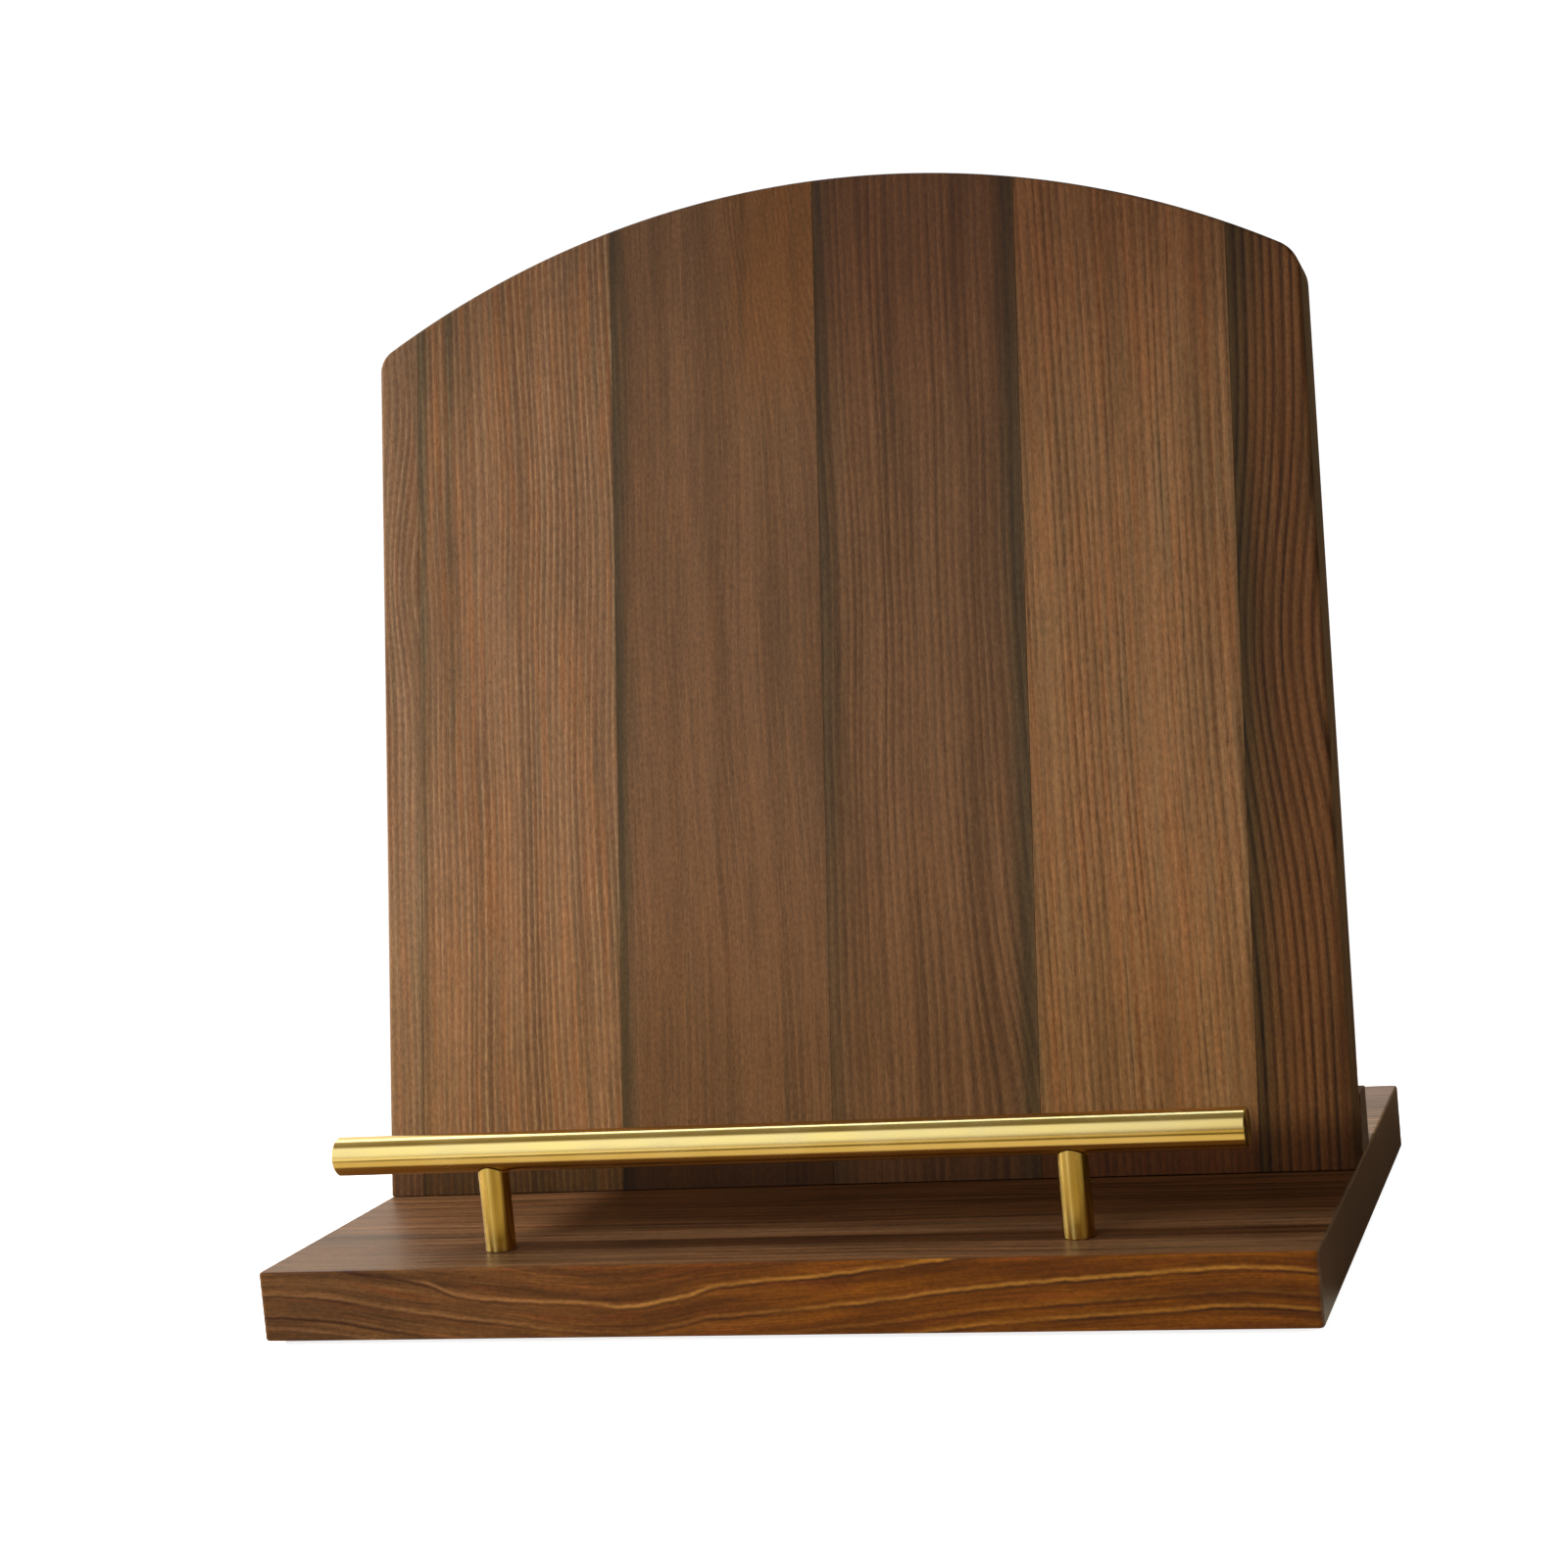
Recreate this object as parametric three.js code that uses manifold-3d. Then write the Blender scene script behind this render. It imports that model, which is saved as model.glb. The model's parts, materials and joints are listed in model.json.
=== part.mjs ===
// Cookbook stand: a slab base glued up from three boards, an arched back panel of six staves that
// leans back against a batten, and a brass page rail on two posts.
// Millimetres, +Z up. The origin is under the middle of the base, on the surface that the feet
// stand on, and the front of the stand faces -Y.
import * as THREE from "three";
import { mergeVertices } from "three/addons/utils/BufferGeometryUtils.js";
import Module from "manifold-3d";

// Base slab
const baseLength = 344;
const baseDepth = 244;
const baseThickness = 23;
const baseCornerRadius = 2;
const baseArrisRadius = 1;
const baseBoardShares = [0.323, 0.337, 0.34]; // board widths from the front edge to the rear one

// Rubber feet
const footDiameter = 12;
const footHeight = 2;
const footArrisRadius = 0.6;
const footInset = 22; // from the slab's edges to a foot's centre

// Back panel
const panelThickness = 22;
const panelSetback = 104.4; // from the base's front edge to the panel's face, along the base's top
const panelLean = THREE.MathUtils.degToRad(11.6);
const panelSideHeight = 308; // from the base's top to the foot of the arch, along the panel
const archRise = 46.5;
const panelFootInset = 0.3; // how far each side of the panel's foot stays back from the base's end
const panelSideTaper = 1.9; // how much further in each side of the panel is at the foot of the arch
const leftCornerRadius = 9;
const rightCornerRadius = 13;
const panelArrisRadius = 1.5;
const staveShares = [0.0379, 0.2228, 0.2234, 0.2129, 0.2129, 0.0901]; // stave widths at the foot
const staveSlant = 0.014; // how far the joints between staves run to the right per unit of height
const screwedStaves = [1, 2, 3, 4]; // the wide staves, which each take one screw
const panelSeatGap = 0.3; // under the panel's foot

// Batten behind the panel's foot
const battenDepth = 19; // at its foot
const battenHeight = 20;
const battenArrisRadius = 1.5;
const battenGlueGap = 0.3; // between the batten and the panel's back
const battenScrewShares = [0.12, 0.5, 0.88]; // places of its screws along its length

// Wood screws, which hold the panel and the batten from below
const woodScrewDiameter = 4;
const woodScrewHeadDiameter = 8;
const woodScrewHeadRim = 0.6; // the straight rim outside the countersunk cone
const woodScrewTipLength = 6;
const woodScrewTipDiameter = 0.8;
const woodScrewSink = 0.7; // from the underside to the lowest point of a head
const panelScrewLength = 40;
const battenScrewLength = 35;

// Page rail
const railLength = 301;
const railDiameter = 12.7;
const railEndChamfer = 0.6;
const railSetback = 25; // from the base's front edge to the rail's axis
const railRise = 32.3; // from the base's top to the rail's axis

// Posts under the rail
const postDiameter = 10;
const postSpacing = 192;
const postFootChamfer = 0.3;
const copeGap = 0.3; // between the rail and the hollow cut for it in a post's top

// Threaded studs that join the posts to the rail
const studDiameter = 4;
const studDepthInRail = 5;
const studDepthInPost = 7;

// Machine screws that hold the posts from below
const postScrewDiameter = 4;
const postScrewReach = 9; // how far a screw goes into its post
const postScrewHeadDiameter = 9;
const postScrewHeadHeight = 2.6;
const postScrewHeadEdge = 0.8; // the straight edge under the domed top
const counterboreDiameter = 11;
const counterboreDepth = 6.5;

// Cross recesses in the screw heads
const recessSpanShare = 0.52; // of the head's diameter
const recessBladeShare = 0.13; // of the head's diameter
const recessDepthShare = 0.18; // of the head's diameter

// Clearances and construction values
const threadGap = 0.2; // round a screw or a stud in its hole
const blindGap = 0.6; // past the end of a screw or a stud in its hole
const threadEndChamfer = 0.5;
const cutOverrun = 20; // how far a cutting tool runs past what it cuts
const weldDistance = 0.001;

// How finely round shapes are divided
const archSteps = 96;
const cornerSteps = 8;
const arrisSteps = 3;
const domeSteps = 5;
const rodSides = 48;
const screwSides = 32;

const wasm = await Module();
wasm.setup();

// Looks of the materials
const woodTones = { pale: 0x96765a, warm: 0x825f44, middle: 0x73523a, dark: 0x5f442d };
const staveTones = ["pale", "warm", "middle", "dark", "warm", "dark"];
const baseBoardTones = { front: "warm", middle: "middle", rear: "pale" };
const wood = (tone) => new THREE.MeshStandardMaterial({ color: woodTones[tone], roughness: 0.55 });
const brass = new THREE.MeshStandardMaterial({ color: 0xd2ab53, roughness: 0.22, metalness: 1 });
const steel = new THREE.MeshStandardMaterial({ color: 0xb9bbbe, roughness: 0.35, metalness: 1 });
const rubber = new THREE.MeshStandardMaterial({ color: 0x26241f, roughness: 0.85 });

// Places that follow from the sizes above
const frontEdge = -baseDepth / 2;
const panelFace = frontEdge + panelSetback; // on the base's top
const panelFootHalf = baseLength / 2 - panelFootInset;
const panelTop = panelSideHeight + archRise;
const leanRise = Math.tan(panelLean);
const battenFront = panelFace + (panelThickness + battenGlueGap) / Math.cos(panelLean);
const battenRear = battenFront + battenDepth;
const railPlane = frontEdge + railSetback;
const postHeight = railRise - railDiameter / 2; // to the rail's underside
const postXs = { left: -postSpacing / 2, right: postSpacing / 2 };

// Frame of the base: its origin is under the slab's middle, on the slab's underside.
const baseGroup = new THREE.Group();
baseGroup.position.z = footHeight;

// Frame of the panel: x along the base, y up the panel, z out of its face. Its origin is on the
// base's top, on the line where the panel's face meets it.
const panelGroup = new THREE.Group();
panelGroup.position.set(0, panelFace, baseThickness);
panelGroup.rotation.x = Math.PI / 2 - panelLean;
panelGroup.updateMatrix();

// Solids and geometries
function solidFrom(geometry, matrix = new THREE.Matrix4()) {
  const bare = geometry.clone().applyMatrix4(matrix);
  bare.deleteAttribute("normal");
  bare.deleteAttribute("uv");
  const welded = mergeVertices(bare, weldDistance);
  return new wasm.Manifold(
    new wasm.Mesh({
      numProp: 3,
      vertProperties: new Float32Array(welded.attributes.position.array),
      triVerts: new Uint32Array(welded.index.array),
    }),
  );
}

function geometryFrom(solid) {
  const mesh = solid.getMesh();
  const geometry = new THREE.BufferGeometry();
  geometry.setAttribute("position", new THREE.BufferAttribute(mesh.vertProperties, 3));
  geometry.setIndex(new THREE.BufferAttribute(mesh.triVerts, 1));
  geometry.computeVertexNormals();
  return geometry;
}

function cutAway(solid, cutters) {
  return cutters.reduce((left, cutter) => left.subtract(cutter), solid);
}

function named(name, solid, material) {
  const mesh = new THREE.Mesh(geometryFrom(solid), material);
  mesh.name = name;
  return mesh;
}

// A block whose corners lie exactly at the two given ones, so that two blocks can share a face.
function block(low, high) {
  const geometry = new THREE.BoxGeometry();
  const places = geometry.attributes.position;
  const pick = (value, axis) => (value < 0 ? low[axis] : high[axis]);
  for (let i = 0; i < places.count; i += 1) {
    places.setXYZ(i, pick(places.getX(i), 0), pick(places.getY(i), 1), pick(places.getZ(i), 2));
  }
  return geometry;
}

// A flat outline made thick, from z 0 down, with rounded arrises all round.
function roundedPlate(outline, thickness, arrisRadius) {
  return new THREE.ExtrudeGeometry(new THREE.Shape(outline), {
    depth: thickness - 2 * arrisRadius,
    bevelSize: arrisRadius,
    bevelOffset: -arrisRadius,
    bevelThickness: arrisRadius,
    bevelSegments: arrisSteps,
  }).translate(0, 0, arrisRadius - thickness);
}

// A solid of revolution about Z. Its profile is a list of [radius, height], from the lowest up.
function turned(profile, sides) {
  const points = profile.map(([radius, height]) => new THREE.Vector2(radius, height));
  return new THREE.LatheGeometry(points, sides).rotateX(Math.PI / 2);
}

// Profile of a rod between two heights, with a chamfer at each end that is given one.
function rodProfile(radius, low, high, lowChamfer, highChamfer) {
  return [
    [0, low],
    ...(lowChamfer > 0 ? [[radius - lowChamfer, low]] : []),
    [radius, low + lowChamfer],
    [radius, high - highChamfer],
    ...(highChamfer > 0 ? [[radius - highChamfer, high]] : []),
    [0, high],
  ];
}

function arcPoints(centreX, centreY, radius, from, to, steps) {
  return Array.from({ length: steps + 1 }, (_, i) => {
    const angle = from + ((to - from) * i) / steps;
    return new THREE.Vector2(centreX + radius * Math.cos(angle), centreY + radius * Math.sin(angle));
  });
}

// Where the joints between boards lie, from the boards' shares of the whole width. The outer two
// places are past the edges, so that the outer boards keep their shaped edges.
function jointPlaces(shares, low, width) {
  const total = shares.reduce((sum, share) => sum + share, 0);
  const places = [low - cutOverrun];
  let reached = 0;
  for (const share of shares.slice(0, -1)) {
    reached += share / total;
    places.push(low + reached * width);
  }
  return [...places, low + width + cutOverrun];
}

const boardJoints = jointPlaces(baseBoardShares, frontEdge, baseDepth);
const staveJoints = jointPlaces(staveShares, -panelFootHalf, 2 * panelFootHalf);

function crossRecess(headDiameter, lowest) {
  const span = (recessSpanShare * headDiameter) / 2;
  const blade = (recessBladeShare * headDiameter) / 2;
  const deepest = lowest + recessDepthShare * headDiameter;
  return [
    [span, blade],
    [blade, span],
  ].map(([x, y]) => solidFrom(block([-x, -y, lowest - cutOverrun], [x, y, deepest])));
}

// Wood screw with a countersunk head, its head down at z 0 and its tip up
function woodScrewSolid(length) {
  const head = woodScrewHeadDiameter / 2;
  const shank = woodScrewDiameter / 2;
  const profile = [
    [0, 0],
    [head, 0],
    [head, woodScrewHeadRim],
    [shank, woodScrewHeadRim + head - shank],
    [shank, length - woodScrewTipLength],
    [woodScrewTipDiameter / 2, length],
    [0, length],
  ];
  return cutAway(solidFrom(turned(profile, screwSides)), crossRecess(woodScrewHeadDiameter, 0));
}

// The hole for a wood screw, open below its head
function woodScrewHole(length, matrix) {
  const head = woodScrewHeadDiameter / 2 + threadGap;
  const shank = woodScrewDiameter / 2 + threadGap;
  const profile = [
    [0, -cutOverrun],
    [head, -cutOverrun],
    [head, woodScrewHeadRim],
    [shank, woodScrewHeadRim + head - shank],
    [shank, length + blindGap],
    [0, length + blindGap],
  ];
  return solidFrom(turned(profile, screwSides), matrix);
}

// Places of the panel's screws, in the panel's frame. They run up the middle of its thickness, and
// the lowest point of a tilted head is just inside the slab's underside.
const panelScrewDepth = panelThickness / 2;
const panelScrewFoot =
  (panelScrewDepth * Math.sin(panelLean) - baseThickness + woodScrewSink) / Math.cos(panelLean) +
  (woodScrewHeadDiameter / 2) * leanRise;
const panelScrewMatrices = screwedStaves.map((i) =>
  new THREE.Matrix4()
    .makeRotationX(-Math.PI / 2)
    .setPosition((staveJoints[i] + staveJoints[i + 1]) / 2, panelScrewFoot, -panelScrewDepth),
);

// Places of the batten's screws, in the base's frame, under the middle of the batten's top
const battenScrewY = (battenFront + battenHeight * leanRise + battenRear) / 2;
const battenScrewMatrices = battenScrewShares.map((share) =>
  new THREE.Matrix4().setPosition((2 * share - 1) * panelFootHalf, battenScrewY, woodScrewSink),
);

function woodScrewHoles(length, matrices, frame = new THREE.Matrix4()) {
  return matrices.map((matrix) => woodScrewHole(length, frame.clone().multiply(matrix)));
}

// Base boards
function baseOutline() {
  const across = baseLength / 2 - baseCornerRadius;
  const deep = baseDepth / 2 - baseCornerRadius;
  const quarter = Math.PI / 2;
  return [
    [1, 1],
    [-1, 1],
    [-1, -1],
    [1, -1],
  ].flatMap(([x, y], i) =>
    arcPoints(x * across, y * deep, baseCornerRadius, i * quarter, (i + 1) * quarter, cornerSteps),
  );
}

function postScrewHole(x) {
  const wide = counterboreDiameter / 2;
  const narrow = postScrewDiameter / 2 + threadGap;
  const profile = [
    [0, -cutOverrun],
    [wide, -cutOverrun],
    [wide, counterboreDepth],
    [narrow, counterboreDepth],
    [narrow, baseThickness + cutOverrun],
    [0, baseThickness + cutOverrun],
  ];
  return solidFrom(turned(profile, screwSides), new THREE.Matrix4().setPosition(x, railPlane, 0));
}

function addBaseBoards() {
  const plate = roundedPlate(baseOutline(), baseThickness, baseArrisRadius);
  const slabSolid = cutAway(solidFrom(plate.translate(0, 0, baseThickness)), [
    ...woodScrewHoles(panelScrewLength, panelScrewMatrices, panelGroup.matrix),
    ...woodScrewHoles(battenScrewLength, battenScrewMatrices),
    ...Object.values(postXs).map(postScrewHole),
  ]);
  const end = baseLength / 2 + cutOverrun;
  Object.entries(baseBoardTones).forEach(([place, tone], i) => {
    const low = [-end, boardJoints[i], -cutOverrun];
    const high = [end, boardJoints[i + 1], baseThickness + cutOverrun];
    const board = slabSolid.intersect(solidFrom(block(low, high)));
    baseGroup.add(named(`base_board_${place}`, board, wood(tone)));
  });
}

// Outline of the panel, in its frame: its sides taper a little, and the ends of its arched top are
// rounded into them. It starts lower than the base's top, which then cuts it to length.
function panelOutline() {
  const topHalf = panelFootHalf - panelSideTaper;
  const lowHalf = panelFootHalf + (panelSideTaper * cutOverrun) / panelSideHeight;
  const archRadius = (topHalf * topHalf + archRise * archRise) / (2 * archRise);
  const archCentre = panelTop - archRadius;
  const corner = (radius) => {
    const across = topHalf - radius;
    const up = Math.sqrt((archRadius - radius) ** 2 - across ** 2);
    return { across, height: archCentre + up, turn: Math.atan2(up, across) };
  };
  const right = corner(rightCornerRadius);
  const left = corner(leftCornerRadius);
  const leftTurn = Math.PI - left.turn;
  return [
    new THREE.Vector2(-lowHalf, -cutOverrun),
    new THREE.Vector2(lowHalf, -cutOverrun),
    ...arcPoints(right.across, right.height, rightCornerRadius, 0, right.turn, cornerSteps),
    ...arcPoints(0, archCentre, archRadius, right.turn, leftTurn, archSteps).slice(1, -1),
    ...arcPoints(-left.across, left.height, leftCornerRadius, leftTurn, Math.PI, cornerSteps),
  ];
}

// The staves are slices of one arched plate, whose foot is cut level.
function addStaves() {
  const end = baseLength / 2 + cutOverrun;
  const belowSeat = block([-end, -baseDepth, -baseDepth], [end, baseDepth, baseThickness + panelSeatGap]);
  const plate = cutAway(solidFrom(roundedPlate(panelOutline(), panelThickness, panelArrisRadius)), [
    solidFrom(belowSeat, panelGroup.matrix.clone().invert()),
    ...woodScrewHoles(panelScrewLength, panelScrewMatrices),
  ]);
  const slant = new THREE.Matrix4().makeShear(0, 0, staveSlant, 0, 0, 0);
  staveTones.forEach((tone, i) => {
    const low = [staveJoints[i], -cutOverrun, -panelThickness - cutOverrun];
    const high = [staveJoints[i + 1], panelTop + cutOverrun, cutOverrun];
    const stave = plate.intersect(solidFrom(block(low, high), slant));
    panelGroup.add(named(`panel_stave_${i + 1}`, stave, wood(tone)));
  });
}

// Batten: its front face leans with the panel, and its back is upright
function battenSolid() {
  const outline = [
    new THREE.Vector2(battenFront, 0),
    new THREE.Vector2(battenRear, 0),
    ...arcPoints(
      battenRear - battenArrisRadius,
      battenHeight - battenArrisRadius,
      battenArrisRadius,
      0,
      Math.PI / 2,
      arrisSteps,
    ),
    new THREE.Vector2(battenFront + battenHeight * leanRise, battenHeight),
  ];
  const length = 2 * panelFootHalf;
  const bar = new THREE.ExtrudeGeometry(new THREE.Shape(outline), { depth: length, bevelEnabled: false });
  const across = new THREE.Vector3(0, 1, 0);
  const up = new THREE.Vector3(0, 0, 1);
  const along = new THREE.Vector3(1, 0, 0);
  const turn = new THREE.Matrix4().makeBasis(across, up, along);
  const placed = bar.applyMatrix4(turn).translate(-panelFootHalf, 0, baseThickness);
  return cutAway(solidFrom(placed), woodScrewHoles(battenScrewLength, battenScrewMatrices));
}

function addWoodScrews() {
  const kinds = [
    ["panel_screw", panelScrewMatrices, panelScrewLength, panelGroup],
    ["batten_screw", battenScrewMatrices, battenScrewLength, baseGroup],
  ];
  for (const [name, matrices, length, group] of kinds) {
    const solid = woodScrewSolid(length);
    matrices.forEach((matrix, i) => {
      const screw = named(`${name}_${i + 1}`, solid, steel);
      screw.applyMatrix4(matrix);
      group.add(screw);
    });
  }
}

// Page rail about its own middle, with a blind hole over each post
function railSolid() {
  const half = railLength / 2;
  const radius = railDiameter / 2;
  const profile = rodProfile(radius, -half, half, railEndChamfer, railEndChamfer);
  const bar = turned(profile, rodSides).rotateY(Math.PI / 2);
  const holeTop = studDepthInRail + blindGap - radius;
  const hole = turned(
    rodProfile(studDiameter / 2 + threadGap, -radius - cutOverrun, holeTop, 0, 0),
    screwSides,
  );
  const holes = Object.values(postXs).map((x) => solidFrom(hole, new THREE.Matrix4().setPosition(x, 0, 0)));
  return cutAway(solidFrom(bar), holes);
}

function addRail() {
  const rail = named("page_rail", railSolid(), brass);
  rail.position.set(0, railPlane, baseThickness + railRise);
  baseGroup.add(rail);
}

// Post with its foot at z 0: its top is hollowed to take the rail, and it is bored at both ends
function postSolid() {
  const body = turned(rodProfile(postDiameter / 2, 0, railRise, postFootChamfer, 0), rodSides);
  const hollowRadius = railDiameter / 2 + copeGap;
  const hollow = new THREE.CylinderGeometry(hollowRadius, hollowRadius, postDiameter + cutOverrun, rodSides);
  const screwTip = postScrewReach + blindGap;
  const studFoot = postHeight - studDepthInPost - blindGap;
  return cutAway(solidFrom(body), [
    solidFrom(hollow.rotateZ(Math.PI / 2).translate(0, 0, railRise)),
    solidFrom(turned(rodProfile(postScrewDiameter / 2 + threadGap, -cutOverrun, screwTip, 0, 0), screwSides)),
    solidFrom(turned(rodProfile(studDiameter / 2 + threadGap, studFoot, railRise, 0, 0), screwSides)),
  ]);
}

function studSolid() {
  const low = postHeight - studDepthInPost;
  const high = postHeight + studDepthInRail;
  const profile = rodProfile(studDiameter / 2, low, high, threadEndChamfer, threadEndChamfer);
  return solidFrom(turned(profile, screwSides));
}

// Machine screw with a domed head: the head is under z 0 and the shank over it
function postScrewSolid() {
  const shank = postScrewDiameter / 2;
  const head = postScrewHeadDiameter / 2;
  const length = baseThickness - counterboreDepth + postScrewReach;
  const domeHeight = postScrewHeadHeight - postScrewHeadEdge;
  const domeRadius = (head * head + domeHeight * domeHeight) / (2 * domeHeight);
  const domeTurn = Math.asin(head / domeRadius);
  const dome = arcPoints(
    0,
    domeRadius - postScrewHeadHeight,
    domeRadius,
    -Math.PI / 2,
    domeTurn - Math.PI / 2,
    domeSteps,
  ).slice(1);
  const profile = [
    [0, -postScrewHeadHeight],
    ...dome.map((point) => [point.x, point.y]),
    [head, 0],
    [shank, 0],
    [shank, length - threadEndChamfer],
    [shank - threadEndChamfer, length],
    [0, length],
  ];
  const recess = crossRecess(postScrewHeadDiameter, -postScrewHeadHeight);
  return cutAway(solidFrom(turned(profile, screwSides)), recess);
}

function addPosts() {
  for (const [side, x] of Object.entries(postXs)) {
    const group = new THREE.Group();
    group.position.set(x, railPlane, baseThickness);
    const screw = named(`post_screw_${side}`, postScrewSolid(), steel);
    screw.position.z = counterboreDepth - baseThickness;
    group.add(named(`rail_post_${side}`, postSolid(), brass), named(`rail_stud_${side}`, studSolid(), steel), screw);
    baseGroup.add(group);
  }
}

// Feet, stuck to the slab's underside near its corners
function addFeet() {
  const radius = footDiameter / 2;
  const rim = arcPoints(
    radius - footArrisRadius,
    footArrisRadius - footHeight,
    footArrisRadius,
    -Math.PI / 2,
    0,
    arrisSteps,
  );
  const profile = [[0, -footHeight], ...rim.map((point) => [point.x, point.y]), [radius, 0], [0, 0]];
  const x = baseLength / 2 - footInset;
  const y = baseDepth / 2 - footInset;
  const places = { front_left: [-x, -y], front_right: [x, -y], rear_left: [-x, y], rear_right: [x, y] };
  for (const [corner, [footX, footY]] of Object.entries(places)) {
    const foot = named(`foot_${corner}`, solidFrom(turned(profile, screwSides)), rubber);
    foot.position.set(footX, footY, 0);
    baseGroup.add(foot);
  }
}

addBaseBoards();
addStaves();
baseGroup.add(named("panel_batten", battenSolid(), wood("dark")));
addWoodScrews();
addRail();
addPosts();
addFeet();

const stand = new THREE.Group();
baseGroup.add(panelGroup);
stand.add(baseGroup);

export default stand;
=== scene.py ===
"""Looks of the cookbook stand: boards, brass and fasteners, with a floor, soft lights and a camera."""
import json
import math

import bmesh
import bpy
from mathutils import Matrix, Vector


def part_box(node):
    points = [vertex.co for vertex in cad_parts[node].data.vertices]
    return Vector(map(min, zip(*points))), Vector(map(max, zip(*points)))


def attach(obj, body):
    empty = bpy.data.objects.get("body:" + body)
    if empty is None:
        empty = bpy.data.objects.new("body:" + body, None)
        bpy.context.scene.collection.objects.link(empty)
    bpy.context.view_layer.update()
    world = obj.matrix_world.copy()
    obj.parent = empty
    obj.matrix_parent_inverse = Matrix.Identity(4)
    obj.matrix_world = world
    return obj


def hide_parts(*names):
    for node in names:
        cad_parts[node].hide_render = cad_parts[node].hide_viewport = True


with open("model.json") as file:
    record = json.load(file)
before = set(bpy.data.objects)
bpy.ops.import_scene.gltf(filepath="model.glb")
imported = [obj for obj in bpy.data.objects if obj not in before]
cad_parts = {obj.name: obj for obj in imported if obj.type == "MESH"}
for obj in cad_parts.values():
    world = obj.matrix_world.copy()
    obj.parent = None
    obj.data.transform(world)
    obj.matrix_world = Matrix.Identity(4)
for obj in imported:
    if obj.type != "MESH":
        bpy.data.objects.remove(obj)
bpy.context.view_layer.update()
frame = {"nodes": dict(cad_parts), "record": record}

MM = 0.001

# The camera stands where the photograph was taken from
CAMERA_PLACE = Vector((0.29101, -0.9782, 0.24406))
CAMERA_YAW = math.radians(17.38)
CAMERA_PITCH = math.radians(-4.56)
CAMERA_ROLL = math.radians(5.44)
CAMERA_LENS = 68.33
CAMERA_SENSOR = 36

# The panel's frame: its foot line on the base's top, and its lean
PANEL_LEAN = math.radians(11.6)
PANEL_UP = Vector((0, math.sin(PANEL_LEAN), math.cos(PANEL_LEAN)))
PANEL_OUT = Vector((0, -math.cos(PANEL_LEAN), math.sin(PANEL_LEAN)))
BASE_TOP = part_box("base_board_front")[1].z
BASE_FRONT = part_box("base_board_front")[0].y
PANEL_FOOT = Vector((0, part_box("panel_stave_3")[0].y, BASE_TOP))
STAVE_SLANT = 0.014  # how far a joint leans to the right, per mm along the panel
STAVE_JOINTS = [-158.7, -82.2, -5.5, 67.6, 140.8]  # at the panel's foot, in mm

# Edges of the refined meshes
WELD = 1e-6
FLAT_ANGLE = math.radians(0.3)
SHARP_ANGLE = math.radians(50)
SLAB_HALF = Vector((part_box("base_board_front")[1].x, -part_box("base_board_front")[0].y))
SLAB_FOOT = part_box("base_board_front")[0].z
SLAB_RADIUS = 2.0 * MM
SLAB_SEGMENTS = 5
BOARD_RADIUS = 0.2 * MM
BATTEN_RADIUS = 0.4 * MM
HARDWARE_RADIUS = 0.15 * MM
SMALL_SEGMENTS = 2


def linear(red, green, blue):
    """A colour given as 8-bit display values, as the shaders take it."""
    def one(value):
        share = value / 255
        return share / 12.92 if share <= 0.04045 else ((share + 0.055) / 1.055) ** 2.4
    return (one(red), one(green), one(blue), 1)


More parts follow.
